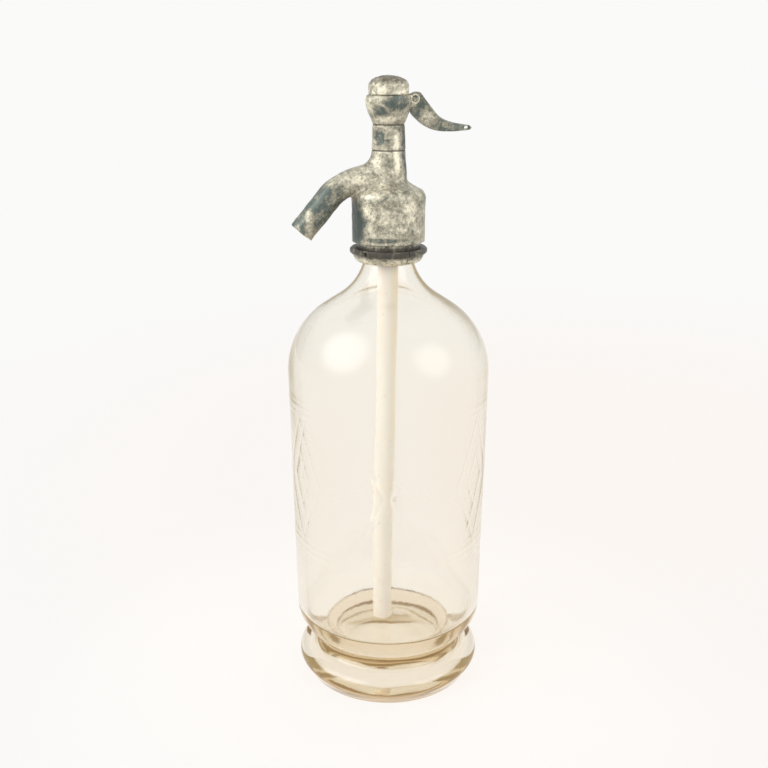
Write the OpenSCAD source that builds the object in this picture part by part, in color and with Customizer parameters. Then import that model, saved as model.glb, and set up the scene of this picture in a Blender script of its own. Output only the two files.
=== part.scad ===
// Soda siphon: a thick glass bottle under a cast metal head with a side spout and a thumb lever.
// Millimetres, +Z up. The origin is the centre of the foot, on the table.
// The spout points to -X and the lever to +X.

/* [Bottle] */
// Height of the glass, from the table to the top of its lip
bottle_h = 232.6; // [210:0.1:280]
// Outer radius where the wall leaves the rounded bottom
body_base_r = 47.2; // [44:0.1:52]
// Outer radius where the wall starts to turn in to the shoulder
body_top_r = 49; // [45:0.1:54]
// Height from that turn to the top of the lip
shoulder_drop = 70.7; // [68:0.1:80]
// Radius of the shoulder's curve, seen from the side
shoulder_round = 38; // [30:0.5:42]
// Slope at which the shoulder runs in to the neck, in degrees
shoulder_slope = 57; // [50:0.5:60]
// Radius of the curve that sweeps up into the neck
neck_sweep = 27; // [20:0.5:29]
// Outer radius of the neck
neck_r = 11.1; // [10.6:0.1:12]
// Thickness of the glass wall
glass_wall = 4.6; // [3:0.1:5]
// Outer radius of the lip around the mouth
lip_r = 14; // [13:0.1:14.4]
// Height of the lip
lip_h = 6; // [4:0.1:8]
// Height of the inner floor above the table
floor_h = 24; // [22:0.1:26]
// Radius of the flat middle of the inner floor
floor_r = 27; // [20:0.5:29]
// Height where the floor's sloping edge meets the wall
floor_edge_h = 35.2; // [33:0.1:38]
// Radius of the rounding in that corner
floor_corner = 2.5; // [1:0.1:5]

/* [Foot] */
// Radius of the foot at its widest
foot_r = 46.5; // [42:0.1:52]
// Height of that widest place above the table
foot_bulge_h = 9; // [7:0.1:10]
// Radius of the foot's rounded bulge
foot_round = 5.5; // [3:0.1:6]
// Outer radius of the ring that rests on the table
foot_base_r = 42; // [38:0.1:44]
// Width of that ring
foot_rest_w = 6; // [3:0.1:9]
// Height of the hollow under the foot
kick_h = 7; // [4:0.1:10]
// Radius of the waist above the foot
waist_r = 34.5; // [32:0.1:38]
// Radius of the rounding between the wall and the waist
bottom_round = 17; // [16:0.1:20]
// Height where the wall starts to round in to the waist
bottom_round_h = 38; // [36:0.1:42]

/* [Collar] */
// Radius of the collar's flange
flange_r = 18.3; // [17:0.1:20]
// Thickness of the flange
flange_t = 2.9; // [2:0.1:4]
// Radius of the taper where it leaves the flange
taper_top_r = 16.7; // [15:0.1:17]
// Radius of the taper's lower edge
taper_low_r = 13.8; // [13.6:0.1:14.6]
// Height of the taper
taper_h = 3.9; // [3:0.1:5]
// Gap between the flange and the head's skirt
skirt_gap = 2.8; // [1:0.1:3.4]
// Inner radius of the collar, around the neck
collar_bore_r = 13; // [12.8:0.1:13.4]
// Thickness of the fibre ring under the lip
liner_t = 1.1; // [0.6:0.1:2]
// Angle of the split line between the two halves, from the front to the right
split_angle = 19; // [0:1:60]
// Width of the two spanner notches in the flange
notch_w = 2.6; // [1.5:0.1:4]
// Depth of the spanner notches
notch_d = 0.9; // [0.4:0.1:1.4]

/* [Head] */
// Outer radius of the skirt
skirt_r = 17.25; // [16.6:0.05:19]
// Thickness of the skirt's wall
skirt_wall = 2; // [1.4:0.1:2.4]
// Height of the skirt's straight side above the gasket's seat
skirt_rise = 10; // [8:0.1:12]
// Depth of the skirt below the gasket's seat
skirt_depth = 10; // [9.6:0.1:11]
// Rounding of the skirt's upper edge
skirt_round = 4.5; // [2:0.1:5]
// Slope of the shoulder between skirt and column, in degrees from level
head_slope = 30; // [24:1:40]
// Outer radius of the column at its foot
column_r = 7.65; // [7.4:0.05:8.2]
// Outer radius of the column at its top groove
column_top_r = 7.4; // [7.2:0.05:8]
// Rounding between the shoulder and the column
column_round = 4.5; // [2:0.1:6]
// Height of the lower turned groove above the gasket's seat
groove_low_h = 31.7; // [29:0.1:36]
// Height of the upper turned groove above the gasket's seat
groove_top_h = 43.1; // [42:0.1:46]
// Width of a turned groove
groove_w = 0.7; // [0.4:0.1:1.2]
// Depth of a turned groove
groove_d = 0.45; // [0.2:0.05:0.6]
// Radius of the lever housing at its widest
bulb_r = 10.5; // [10.2:0.1:12]
// Height of that widest place above the gasket's seat
bulb_mid_h = 53.5; // [53:0.1:54.5]
// Radius of the lever housing where the cap sits
bulb_top_r = 9.8; // [9.4:0.1:10.2]
// Height of the cap's seat above the gasket's seat
cap_seat_h = 56; // [55.7:0.1:57]

/* [Spout] */
// Outer radius of the spout
spout_r = 5.9; // [5.4:0.1:6.4]
// Radius of the spout's bore
spout_bore_r = 4; // [3:0.1:4.2]
// Height of the spout's level root above the gasket's seat
spout_root_h = 18.9; // [18:0.1:20.5]
// Distance from the axis to the start of the bend
spout_root_l = 10.1; // [9:0.1:16]
// Radius of the bend, along the middle of the spout
spout_bend_r = 24; // [16:0.5:32]
// Angle of the bend, in degrees
spout_bend = 50; // [30:1:70]
// Length of the straight end of the spout
spout_end_l = 20; // [12:0.5:26]

/* [Cap] */
// Outer radius of the cap
cap_r = 9.1; // [8.6:0.1:9.5]
// Height of the cap's plain band
cap_band_h = 4; // [3.8:0.1:6]
// Height of the cap's dome above the band
cap_dome_h = 4.6; // [3.6:0.1:6]
// Width of the slot across the dome
cap_slot_w = 1.6; // [0.8:0.1:2.4]
// Depth of the slot
cap_slot_d = 1.1; // [0.5:0.1:1.4]
// Number of grip flutes around the edge of the dome
cap_flutes = 16; // [8:1:20]

/* [Lever] */
// Distance from the head's axis to the pivot pin
pivot_x = 11.5; // [11.3:0.1:12.4]
// Height of the pivot pin above the gasket's seat
pivot_h = 54.4; // [54.2:0.1:54.6]
// Radius of the pivot pin
pin_r = 1.2; // [0.9:0.05:1.4]
// Thickness of the lever's tongue between the lugs
tongue_w = 4; // [3:0.1:4.4]
// Greatest thickness of the lever's thumb piece
thumb_w = 7; // [5:0.1:10]
// Thickness of the lever at its tip
tip_w = 3; // [2:0.1:4]
// Thickness of each lug beside the tongue
lug_t = 2.1; // [1.4:0.1:3]
// Radius of the lugs around the pin
lug_r = 2.2; // [1.9:0.05:2.4]
// Length of the eye in the lever's tip
eye_l = 2.9; // [2:0.1:3.4]
// Height of the eye
eye_h = 1.3; // [0.8:0.1:1.5]

/* [Valve] */
// Radius of the valve stem
stem_r = 2; // [1.6:0.1:2.2]
// Radius of the stem's slotted head
stem_head_r = 4; // [3.6:0.1:4.3]
// Height of the stem's head
stem_head_h = 7.3; // [7:0.1:7.8]
// Radius of the ball at the end of the lever's nose
nose_r = 1.5; // [1.2:0.05:1.6]
// Depth of the nose's ball below the pivot pin
nose_drop = 4; // [3.8:0.1:4.2]
// Radius of the hole through the valve seat
seat_hole_r = 2.4; // [2.2:0.1:2.6]
// Height of the valve seat
seat_h = 5.5; // [4.5:0.1:6]
// Radius of the rubber washer
washer_r = 3.7; // [3.5:0.1:4]
// Thickness of the rubber washer
washer_t = 2.2; // [1.6:0.1:2.6]
// Wire diameter of the return spring
wire_d = 0.8; // [0.5:0.05:0.9]
// Middle radius of the return spring
spring_r = 2.8; // [2.6:0.1:3.2]
// Number of turns in the return spring
spring_turns = 4.5; // [3:0.5:5]

/* [Dip tube] */
// Outer radius of the dip tube
tube_r = 4.9; // [4:0.1:5.1]
// Wall of the dip tube
tube_wall = 1.7; // [1:0.1:2]
// Gap between the end of the tube and the floor
tube_floor_gap = 3; // [2:0.1:12]
// Lean of the tube towards the spout's side, in degrees
tube_lean = 0.9; // [0.2:0.1:1]

/* [Hidden] */

$fn = 96;
eps = 0.01;

// Clearances
fit = 0.02;          // between a screwed or pressed piece and its hole
run_fit = 0.05;      // between a moving shaft and its hole
thread_gap = 0.15;   // between plain cylinders that stand in for threads
air = 0.3;           // least gap between moving pieces
step = 0.02;         // step where a bend meets a straight length
lap = 0.5;           // overlap there

// Metals and soft pieces, as the photograph shows them
pewter = [0.55, 0.52, 0.45];
dark_pewter = [0.42, 0.44, 0.44];
brass = [0.72, 0.58, 0.33];
soft_black = [0.13, 0.12, 0.11];
fibre = [0.45, 0.3, 0.2];
cream = [0.93, 0.88, 0.75];
straw_glass = [0.86, 0.85, 0.72, 0.45];

// Bottle
neck_bore_r = neck_r - glass_wall;
shoulder_z = bottle_h - shoulder_drop;
body_inner_r = body_base_r - glass_wall;
floor_slope = atan2(floor_edge_h - floor_h, body_inner_r - floor_r);
floor_bend = 6;       // rounding between the floor's flat middle and its sloping edge
waist_turn = acos((waist_r - body_base_r + bottom_round) / bottom_round);
foot_centre_r = foot_r - foot_round;

// Head, counted up from the seat of the neck gasket
gasket_t = 2;
seat_z = bottle_h + gasket_t;
skirt_bottom = seat_z - skirt_depth;
skirt_bore_r = skirt_r - skirt_wall;
spout_z = seat_z + spout_root_h;
cap_seat = seat_z + cap_seat_h;
groove_low = seat_z + groove_low_h;
groove_top = seat_z + groove_top_h;
bulb_mid = seat_z + bulb_mid_h;
bulb_bore_r = 6;      // bore of the lever housing
cap_screw_r = 7.2;    // the screwed stub that carries the cap
cap_screw_h = 3.3;

// Tube holder and valve seat
holder_r = neck_bore_r - 0.5;
holder_below = 5.6;
holder_above = 6.4;
tube_top = seat_z + 1.8;
tube_seal_t = 1.8;
tube_straight = 0.4;  // upright length of the tube below its holder
holder_top = seat_z + holder_above;
valve_seat_r = 4.4;
seat_lip_h = 0.9;
seat_lip_w = 0.8;
seat_top = holder_top + seat_h + seat_lip_h;

// Column bore: the outlet chamber, then the wider bore of the packing and the lever housing
chamber_r = 4.4;
packing_r = 5;
chamber_roof = 4.8;   // height of the chamber above the spout's bore
chamber_top = spout_z + spout_bore_r + chamber_roof;
packing_washer_t = 0.6;
packing_t = 3.4;
gland_h = 4.7;
housing_floor = cap_seat - 9.1;

// Valve stem: the flange that backs the washer, the rod and the slotted head
washer_z = seat_top + run_fit;
flange_z = washer_z + washer_t;
stem_flange_t = 1.4;
stem_flange_r = washer_r - 0.4;
screw_r = 0.95;
screw_l = 3.4;
screw_head_r = 1.7;
screw_head_h = 1.2;
nose_z = seat_z + pivot_h - nose_drop;
slot_floor = 1.2;
nose_swing = 0.7;    // how far the ball moves along the slot as it rises
head_low = nose_z - nose_r - air - slot_floor;
head_top = head_low + stem_head_h;
spigot_h = 1.8;
spigot_r = spring_r - wire_d / 2 - 0.6;

// Lever housing window and cap
pivot_z = seat_z + pivot_h;
window_w = tongue_w + 2 * air;
lug_span = window_w + 2 * lug_t;
gasket_ring_t = 0.8;
cap_bore_r = spring_r + wire_d / 2 + 1.2;
cap_roof = 0.65;      // metal between the cap's bore and the bottom of its slot
cap_bore_top = cap_seat + cap_band_h + cap_dome_h - cap_slot_d - cap_roof;

// Return spring, between the stem's head and the roof of the cap's bore
spring_end_gap = 0.05;
spring_low = head_top + spring_end_gap;
spring_high = cap_bore_top - spring_end_gap;
spring_rise = spring_high - spring_low - wire_d;
spring_self_gap = spring_rise / spring_turns - wire_d;
echo(return_spring_self_gap_mm = spring_self_gap);

// Points on an arc about centre c, from angle a0 to a1, in n steps
function arc(c, r, a0, a1, n = 16) =
    [for (i = [0:n]) c + r * [cos(a0 + (a1 - a0) * i / n), sin(a0 + (a1 - a0) * i / n)]];

// Points of a smooth curve through p, with n steps a span
function smooth(p, n = 6) = [
    for (i = [0:len(p) - 2], k = [0:n - 1])
        let (t = k / n, a = p[max(i - 1, 0)], b = p[i], c = p[i + 1], d = p[min(i + 2, len(p) - 1)])
        0.5 * (2 * b + (c - a) * t + (2 * a - 5 * b + 4 * c - d) * pow(t, 2)
            + (3 * b - a - 3 * c + d) * pow(t, 3)),
    p[len(p) - 1]
];

// A ring or disc between radii a and b, from height z0 to z1
module ring(a, b, z0, z1) {
    rotate_extrude() translate([a, z0]) square([b - a, z1 - z0]);
}

// ---- Bottle ----

// Shoulder and neck, set in by wall t from the outside of the glass, from the body up
function shoulder_curve(t) =
    let (
        a = shoulder_slope,
        turn_c = [body_top_r - shoulder_round, shoulder_z],
        turn_end = turn_c + shoulder_round * [cos(a), sin(a)],
        sweep_r = neck_r + neck_sweep * (1 - cos(a)),
        sweep_z = turn_end[1] + (turn_end[0] - sweep_r) / tan(a),
        sweep_c = [neck_r + neck_sweep, sweep_z + neck_sweep * sin(a)]
    )
    concat(
        arc(turn_c, shoulder_round - t, 0, a, 24),
        arc(sweep_c, neck_sweep + t, 180 + a, 180, 20)
    );

// Foot ring, from the table up to the waist
foot_tangent = atan2(foot_bulge_h, foot_centre_r - foot_base_r)
    - asin(foot_round / norm([foot_centre_r - foot_base_r, foot_bulge_h])) - 90;
foot_curve = concat(
    [[foot_base_r, 0]],
    arc([foot_centre_r, foot_bulge_h], foot_round, foot_tangent, 100, 16)
);

// Rounded bottom of the body, from the waist up
bottom_curve = arc([body_base_r - bottom_round, bottom_round_h], bottom_round, -waist_turn, 0, 16);

// Hollow under the foot, from its middle out to the resting ring
kick_r = foot_base_r - foot_rest_w;
kick_sphere = (pow(kick_r, 2) + pow(kick_h, 2)) / (2 * kick_h);
kick_half = asin(kick_r / kick_sphere);
kick_curve = arc([0, kick_h - kick_sphere], kick_sphere, 90, 90 - kick_half, 12);

lip_round = 1.5;
mouth_edge = 0.8;     // bevel around the mouth
lip_curve = concat(
    [[neck_r, bottle_h - lip_h]],
    arc([lip_r - lip_round, bottle_h - lip_h + lip_round], lip_round, -90, 0, 6),
    arc([lip_r - lip_round, bottle_h - lip_round], lip_round, 0, 90, 6),
    [[neck_bore_r + mouth_edge, bottle_h], [neck_bore_r, bottle_h - mouth_edge]]
);

inner_curve = concat(
    [[0, floor_h]],
    arc(
        [floor_r - floor_bend * tan(floor_slope / 2), floor_h + floor_bend],
        floor_bend, -90, floor_slope - 90, 6
    ),
    arc(
        [body_inner_r - floor_corner, floor_edge_h + floor_corner * tan((90 - floor_slope) / 2)],
        floor_corner, floor_slope - 90, 0, 6
    ),
    shoulder_curve(glass_wall)
);

// The list p with its order turned round
function reversed(p) = [for (i = [len(p) - 1:-1:0]) p[i]];

module glass_bottle() {
    color(straw_glass)
    rotate_extrude($fn = 128)
    polygon(concat(
        kick_curve, foot_curve, bottom_curve, shoulder_curve(0), lip_curve, reversed(inner_curve)
    ));
}

// ---- Collar ----

flange_top = skirt_bottom - skirt_gap;
flange_low = flange_top - flange_t;
sleeve_r = skirt_bore_r - thread_gap;
liner_top = bottle_h - lip_h;
liner_low = liner_top - liner_t;
sleeve_bore_r = lip_r + thread_gap;
sleeve_top = bottle_h - 1;
notch_count = 2;
notch_angle = 25;     // from the square of the split line to the first notch

module collar() {
    edge = 0.8;
    difference() {
        rotate_extrude() polygon(concat(
            [[collar_bore_r, flange_low - taper_h]],
            // the taper: a quarter of an ellipse
            [for (a = [90:-10:0])
                [taper_low_r + (taper_top_r - taper_low_r) * cos(a), flange_low - taper_h * sin(a)]],
            [
                [flange_r - edge, flange_low],
                [flange_r, flange_low + edge],
                [flange_r, flange_top - edge],
                [flange_r - edge, flange_top],
                [sleeve_r, flange_top],
                [sleeve_r, sleeve_top],
                [sleeve_bore_r, sleeve_top],
                [sleeve_bore_r, liner_low],
                [collar_bore_r, liner_low],
            ]
        ));
        for (i = [0:notch_count - 1])
            rotate([0, 0, split_angle + notch_angle + i * 360 / notch_count])
            translate([flange_r - notch_d, -notch_w / 2, flange_low - eps])
            cube([notch_d + 1, notch_w, flange_t + 2 * eps]);
    }
}

// One half of the collar: the side s = 1 or -1 of the split line
module collar_half(s) {
    split = 0.15;
    reach = flange_r + 2;
    intersection() {
        collar();
        rotate([0, 0, split_angle])
        translate([s > 0 ? split : -reach, -reach, flange_low - taper_h - 1])
        cube([reach - split, 2 * reach, 30]);
    }
}

module collar_front() {
    color(dark_pewter) collar_half(-1);
}

module collar_back() {
    color(dark_pewter) collar_half(1);
}

module collar_liner() {
    color(fibre) ring(neck_r + air, lip_r, liner_low, liner_top);
}

module neck_gasket() {
    color(soft_black) ring(neck_bore_r + 0.3, lip_r + 0.4, bottle_h, seat_z);
}

// ---- Head ----

// Middle line of the spout, in the plane y = 0: the end of the bend and of the tip
bend_c = [-spout_root_l, spout_z - spout_bend_r];
bend_end = bend_c + spout_bend_r * [-sin(spout_bend), cos(spout_bend)];

// A solid rod of radius r along the spout; more is added to the length of its end.
// The bend is thinner by one step, so that its neighbours lap over it in flat rings.
module spout_rod(r, more = 0) {
    translate([0, 0, spout_z]) rotate([0, -90, 0]) cylinder(r = r, h = spout_root_l + lap);
    translate([bend_c[0], 0, bend_c[1]])
    rotate([90, 0, 0]) rotate([0, 0, 90])
    rotate_extrude(angle = spout_bend) translate([spout_bend_r, 0]) circle(r = r - step);
    translate([bend_end[0], 0, bend_end[1]])
    rotate([0, -90 - spout_bend, 0])
    translate([0, 0, -lap]) cylinder(r = r, h = spout_end_l + lap + more);
}

// Outside of the head, from the skirt's lower edge up to the seat of the cap
slope_c = [skirt_r - skirt_round, seat_z + skirt_rise];
slope_start = slope_c + skirt_round * [sin(head_slope), cos(head_slope)];
fillet_r = column_r + column_round * (1 - sin(head_slope));
slope_end = [fillet_r, slope_start[1] + (slope_start[0] - fillet_r) * tan(head_slope)];
fillet_c = [column_r + column_round, slope_end[1] + column_round * cos(head_slope)];

// Lever housing: a quarter sine wave out to its widest place, and a quarter cosine in to the cap
bulb_low = groove_top + groove_w;
bulb_outline = concat(
    [for (a = [0:7.5:90])
        [column_top_r + (bulb_r - column_top_r) * sin(a), bulb_low + (bulb_mid - bulb_low) * a / 90]],
    [for (a = [30:30:90])
        [bulb_top_r + (bulb_r - bulb_top_r) * cos(a), bulb_mid + (cap_seat - bulb_mid) * a / 90]]
);

function groove(r, z) = [[r, z - groove_w / 2], [r - groove_d, z], [r, z + groove_w / 2]];

head_outline = concat(
    [[skirt_r, skirt_bottom]],
    arc(slope_c, skirt_round, 0, 90 - head_slope, 10),
    arc(fillet_c, column_round, 270 - head_slope, 180, 10),
    groove((column_r + column_top_r) / 2 + 0.1, groove_low),
    groove(column_top_r, groove_top),
    bulb_outline
);

module head_body() {
    rotate_extrude() polygon(concat(
        [[0, skirt_bottom]],
        head_outline,
        [[cap_screw_r, cap_seat], [cap_screw_r, cap_seat + cap_screw_h], [0, cap_seat + cap_screw_h]]
    ));
}

// The two lugs that carry the lever's pin, before the window is cut between them
module lugs() {
    low = lug_r + 1.6;
    root = bulb_bore_r + 1;
    translate([pivot_x, lug_span / 2, pivot_z]) rotate([90, 0, 0]) cylinder(r = lug_r, h = lug_span);
    translate([root, -lug_span / 2, pivot_z - low])
    cube([pivot_x - root, lug_span, low + cap_seat - pivot_z - eps]);
    translate([pivot_x - eps, lug_span / 2, pivot_z])
    rotate([90, 0, 0])
    linear_extrude(lug_span) polygon([[0, -low], [0, 0], [lug_r, 0]]);
}

module head_casting() {
    color(pewter)
    difference() {
        union() {
            head_body();
            lugs();
            spout_rod(spout_r);
        }
        spout_rod(spout_bore_r, 1);
        // bore for the lip, the gasket and the collar
        translate([0, 0, skirt_bottom - 1]) cylinder(r = skirt_bore_r, h = skirt_depth + 1);
        // bores for the tube holder, the valve seat, the outlet chamber and the packing
        translate([0, 0, seat_z - eps]) cylinder(r = holder_r + fit, h = holder_above + eps);
        translate([0, 0, holder_top - eps]) cylinder(r = chamber_r + fit, h = chamber_top - holder_top);
        translate([0, 0, chamber_top - eps]) cylinder(r = packing_r, h = housing_floor - chamber_top + 1);
        translate([0, 0, housing_floor]) cylinder(r = bulb_bore_r, h = 30);
        // window for the lever's tongue, which is open above the cap's seat outside the cap
        translate([bulb_bore_r - 3, -window_w / 2, housing_floor]) {
            cube([20, window_w, cap_seat - housing_floor]);
            translate([cap_r + 3 - bulb_bore_r, 0, 0]) cube([20, window_w, 30]);
        }
        // hole for the pivot pin
        translate([pivot_x, 20, pivot_z]) rotate([90, 0, 0]) cylinder(r = pin_r + fit, h = 40);
    }
}

// ---- Tube and its holder ----

module tube_holder() {
    color(brass)
    difference() {
        translate([0, 0, seat_z - holder_below]) cylinder(r = holder_r, h = holder_below + holder_above);
        translate([0, 0, seat_z - holder_below - 1])
        cylinder(r = tube_r + fit, h = tube_top + tube_seal_t - seat_z + holder_below + 1);
        translate([0, 0, seat_z]) cylinder(r = seat_hole_r, h = 20);
    }
}

module tube_seal() {
    color(soft_black) ring(seat_hole_r, tube_r, tube_top, tube_top + tube_seal_t);
}

lean_z = seat_z - holder_below - tube_straight;
tube_l = (lean_z - floor_h - tube_floor_gap) / cos(tube_lean);

// A rod of radius r along the tube: upright in its holder, then leaning from just below it.
// The leaning part is thinner by one step. More is added at both ends.
module tube_rod(r, more = 0) {
    translate([0, 0, lean_z]) cylinder(r = r, h = tube_top - lean_z + more);
    translate([0, 0, lean_z])
    rotate([0, 180 + tube_lean, 0])
    translate([0, 0, -lap]) cylinder(r = r - step, h = tube_l + lap + more);
}

module dip_tube() {
    color(cream)
    difference() {
        tube_rod(tube_r);
        tube_rod(tube_r - tube_wall, 1);
    }
}

// ---- Valve ----

module valve_seat() {
    color(brass)
    rotate_extrude() polygon([
        [seat_hole_r, holder_top],
        [valve_seat_r, holder_top],
        [valve_seat_r, seat_top - seat_lip_h],
        [seat_hole_r + seat_lip_w + 0.4, seat_top - seat_lip_h],
        [seat_hole_r + seat_lip_w, seat_top],
        [seat_hole_r, seat_top],
    ]);
}

module valve_washer() {
    color(soft_black) ring(screw_r + fit, washer_r, washer_z, washer_z + washer_t);
}

module washer_screw() {
    color(brass)
    difference() {
        union() {
            translate([0, 0, washer_z - screw_head_h]) cylinder(r = screw_head_r, h = screw_head_h);
            translate([0, 0, washer_z - eps]) cylinder(r = screw_r, h = washer_t + screw_l);
        }
        translate([-3, -0.25, washer_z - screw_head_h - eps]) cube([6, 0.5, 0.5]);
    }
}

module valve_stem() {
    slot = nose_r + air;
    slope = nose_drop / pivot_x;
    color(brass)
    difference() {
        union() {
            translate([0, 0, flange_z]) cylinder(r = stem_flange_r, h = stem_flange_t);
            translate([0, 0, flange_z]) cylinder(r = stem_r, h = head_low - flange_z + 1);
            translate([0, 0, head_low]) cylinder(r = stem_head_r, h = stem_head_h);
            translate([0, 0, head_top - eps]) cylinder(r = spigot_r, h = spigot_h);
        }
        translate([0, 0, flange_z - eps]) cylinder(r = screw_r + fit, h = screw_l + 0.4);
        // cross slot for the lever's nose, which slopes up towards the pivot
        translate([0, nose_w / 2 + air, nose_z])
        rotate([90, 0, 0])
        linear_extrude(nose_w + 2 * air)
        polygon([
            [-slot - nose_swing, -slot], [pivot_x, -slot], [pivot_x, slot + pivot_x * slope], [0, slot],
            [-slot - nose_swing, slot],
        ]);
    }
}

module packing_washer() {
    color(brass) ring(stem_r + run_fit, packing_r - fit, chamber_top, chamber_top + packing_washer_t);
}

packing_low = chamber_top + packing_washer_t;
gland_low = packing_low + packing_t;

module stem_packing() {
    color(fibre) ring(stem_r + run_fit, packing_r - fit, packing_low, gland_low);
}

module packing_gland() {
    color(brass)
    difference() {
        ring(stem_r + run_fit, packing_r - fit, gland_low, gland_low + gland_h);
        translate([-10, -0.5, gland_low + gland_h - 1.2]) cube([20, 1, 2]);
    }
}

// ---- Return spring ----

spring_sides = 6;
spring_rings = 8;

// Ring i of the spring's wire: a hexagon square to the helix
function wire_ring(i) =
    let (
        turn = i / spring_rings * 360,
        climb = spring_rise / spring_turns / (2 * PI * spring_r),
        out = [cos(turn), sin(turn), 0],
        up = [sin(turn) * climb, -cos(turn) * climb, 1] / norm([climb, 1]),
        c = spring_r * out + [0, 0, spring_low + wire_d / 2 + spring_rise * turn / 360 / spring_turns]
    )
    [for (k = [0:spring_sides - 1]) let (a = k * 360 / spring_sides)
        c + wire_d / 2 * (cos(a) * out + sin(a) * up)];

module return_spring() {
    n = floor(spring_turns * spring_rings);
    points = [for (i = [0:n]) each wire_ring(i)];
    sides = [
        for (i = [0:n - 1], k = [0:spring_sides - 1])
            let (a = i * spring_sides + k, b = i * spring_sides + (k + 1) % spring_sides)
            each [[a, b, a + spring_sides], [b, b + spring_sides, a + spring_sides]]
    ];
    ends = [
        for (k = [1:spring_sides - 2])
            each [[0, k + 1, k], [n * spring_sides, n * spring_sides + k, n * spring_sides + k + 1]]
    ];
    color("silver") polyhedron(points = points, faces = concat(sides, ends), convexity = 8);
}

// ---- Cap ----

module cap_gasket() {
    low = cap_seat + cap_screw_h;
    color(fibre) ring(cap_bore_r, cap_screw_r, low, low + gasket_ring_t);
}

module top_cap() {
    band_top = cap_seat + cap_band_h;
    flute_r = 0.6;
    color(pewter)
    difference() {
        rotate_extrude() polygon(concat(
            [[0, cap_seat + eps], [cap_r, cap_seat + eps]],
            [for (a = [0:6:90]) [cap_r * cos(a), band_top + cap_dome_h * sin(a)]]
        ));
        translate([0, 0, cap_seat - 1])
        cylinder(r = cap_screw_r + thread_gap, h = cap_screw_h + gasket_ring_t + 1);
        translate([0, 0, cap_seat]) cylinder(r = cap_bore_r, h = cap_bore_top - cap_seat);
        translate([-cap_r, -cap_slot_w / 2, band_top + cap_dome_h - cap_slot_d])
        cube([2 * cap_r, cap_slot_w, 5]);
        for (i = [0:cap_flutes - 1])
            rotate([0, 0, (i + 0.5) * 360 / cap_flutes])
            translate([cap_r - 0.1, 0, band_top + 0.9])
            cylinder(r = flute_r, h = 10);
    }
}

// ---- Lever ----

nose_w = tongue_w - 1;
tip_reach = 27.5;
eye_wall = 0.8;       // metal between the eye and the end of the tip

// Points of the thumb piece, from the pin out and back, counted from the pivot
blade_top = [
    [-1.9, 1.2], [-0.9, 2.2], [1.2, 3], [2.9, 2.5], [5, -0.2], [7.8, -3.7],
    [10.6, -7], [13.5, -9.1], [17.5, -10.4], [21.8, -11.3], [tip_reach - 1.2, -12],
];
blade_low = [
    [tip_reach - 1.2, -14.1], [22, -14.5], [17.7, -14.7], [12.2, -14.5], [8.1, -13.5], [3.9, -11.2],
    [0.2, -8.1], [-1.8, -5.4],
];
eye_mid = [tip_reach - eye_wall - eye_l / 2, -13.05];
nose = [-pivot_x, -nose_drop];

module blade_outline() {
    polygon(concat(smooth(blade_top), smooth(concat([[tip_reach, eye_mid[1]]], blade_low))));
}

// The part of the lever that goes through the window, and its ball
module tongue() {
    translate([pivot_x, tongue_w / 2, pivot_z])
    rotate([90, 0, 0])
    linear_extrude(tongue_w) {
        blade_outline();
        circle(r = pin_r + 1);
    }
    translate([pivot_x, nose_w / 2, pivot_z])
    rotate([90, 0, 0])
    linear_extrude(nose_w) {
        polygon([
            [0, 1.3], [-2, 0.7], nose + [0.5, nose_r - 0.2], nose + [0.5, 0.2 - nose_r], [-1.5, -2.6],
            [0, -nose_drop],
        ]);
        translate(nose) circle(r = nose_r);
    }
}

// The thumb piece: the blade's outline, as wide as the wedge seen from above
module thumb_piece() {
    start = 2.4;
    broad = 12;
    intersection() {
        translate([pivot_x, thumb_w, pivot_z])
        rotate([90, 0, 0])
        linear_extrude(2 * thumb_w)
        blade_outline();
        translate([pivot_x, 0, pivot_z - 30])
        linear_extrude(60)
        polygon([
            [start, -thumb_w / 2 + 0.4], [broad, -thumb_w / 2], [tip_reach + 1, -tip_w / 2],
            [tip_reach + 1, tip_w / 2], [broad, thumb_w / 2], [start, thumb_w / 2 - 0.4],
        ]);
    }
}

module lever() {
    color(pewter)
    difference() {
        union() {
            tongue();
            thumb_piece();
        }
        translate([pivot_x, 20, pivot_z]) rotate([90, 0, 0]) cylinder(r = pin_r + run_fit, h = 40);
        // eye in the tip
        translate([pivot_x + eye_mid[0], 20, pivot_z + eye_mid[1]])
        rotate([90, 0, 0])
        for (s = [-1, 1]) translate([s * (eye_l - eye_h) / 2, 0, 0]) cylinder(r = eye_h / 2, h = 40);
        translate([pivot_x + eye_mid[0] - (eye_l - eye_h) / 2, -20, pivot_z + eye_mid[1] - eye_h / 2])
        cube([eye_l - eye_h, 40, eye_h]);
    }
}

module lever_pin() {
    color(brass)
    translate([pivot_x, lug_span / 2, pivot_z]) rotate([90, 0, 0]) cylinder(r = pin_r, h = lug_span);
}

glass_bottle();
collar_front();
collar_back();
collar_liner();
neck_gasket();
head_casting();
tube_holder();
tube_seal();
dip_tube();
valve_seat();
valve_washer();
washer_screw();
valve_stem();
packing_washer();
stem_packing();
packing_gland();
return_spring();
cap_gasket();
top_cap();
lever();
lever_pin();
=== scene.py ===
"""Looks of the soda siphon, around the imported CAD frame. Metres, +Z up; the spout points to -X."""

import math

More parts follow.
